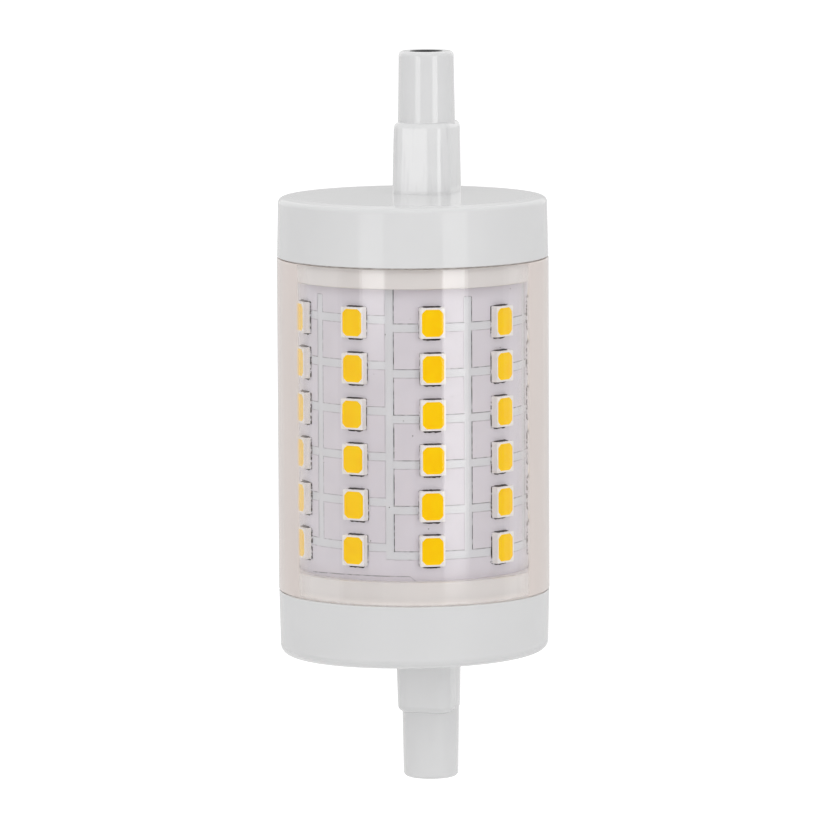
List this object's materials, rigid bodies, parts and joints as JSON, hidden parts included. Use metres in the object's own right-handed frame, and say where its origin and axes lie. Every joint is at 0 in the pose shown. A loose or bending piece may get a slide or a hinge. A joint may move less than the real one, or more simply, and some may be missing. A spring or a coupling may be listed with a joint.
{
  "type": "linear led bulb",
  "caption": "Double-ended linear LED bulb: a rolled light board in a clear tube between two white end caps with off-axis contact stems.",
  "frame": {"origin": "middle of the body, on the tube's axis and halfway between the stem ends", "axes": "+Z along the body towards the upper stem, +Y towards the side both stems stand on"},
  "size_m": [0.0288, 0.0288, 0.078],
  "materials": {
    "cap_plastic": "white gloss moulding",
    "cover_clear": "clear plastic, polished",
    "board_mask": "light solder mask over copper fields",
    "led_housing": "white moulded package",
    "led_phosphor": "yellow silicone with phosphor",
    "contact_metal": "plated contact",
    "driver_laminate": "green laminate",
    "capacitor_sleeve": "dark shrink sleeve",
    "ferrite": "ferrite",
    "copper_wire": "enamelled copper wire",
    "film_box": "dipped film capacitor",
    "resistor_ceramic": "white ceramic block",
    "chip_black": "black moulded package"
  },
  "bodies": {
    "root": {"end_cap_upper": "cap_plastic", "end_cap_lower": "cap_plastic", "contact_upper": "contact_metal", "contact_lower": "contact_metal", "clear_cover": "cover_clear", "led_board": "board_mask", "led_housings_1": "led_housing", "led_housings_2": "led_housing", "led_housings_3": "led_housing", "led_housings_4": "led_housing", "led_housings_5": "led_housing", "led_housings_6": "led_housing", "led_housings_7": "led_housing", "led_housings_8": "led_housing", "led_housings_9": "led_housing", "led_phosphor_1": "led_phosphor", "led_phosphor_2": "led_phosphor", "led_phosphor_3": "led_phosphor", "led_phosphor_4": "led_phosphor", "led_phosphor_5": "led_phosphor", "led_phosphor_6": "led_phosphor", "led_phosphor_7": "led_phosphor", "led_phosphor_8": "led_phosphor", "led_phosphor_9": "led_phosphor", "driver_board": "driver_laminate", "bulk_capacitor": "capacitor_sleeve", "choke_core": "ferrite", "choke_winding": "copper_wire", "film_capacitor": "film_box", "fuse_resistor": "resistor_ceramic", "bridge_rectifier": "chip_black", "driver_chip": "chip_black", "sense_resistors": "chip_black", "supply_lead_upper": "contact_metal", "supply_lead_lower": "contact_metal", "light_pin_upper": "contact_metal", "light_pin_lower": "contact_metal"}
  },
  "joints": []
}
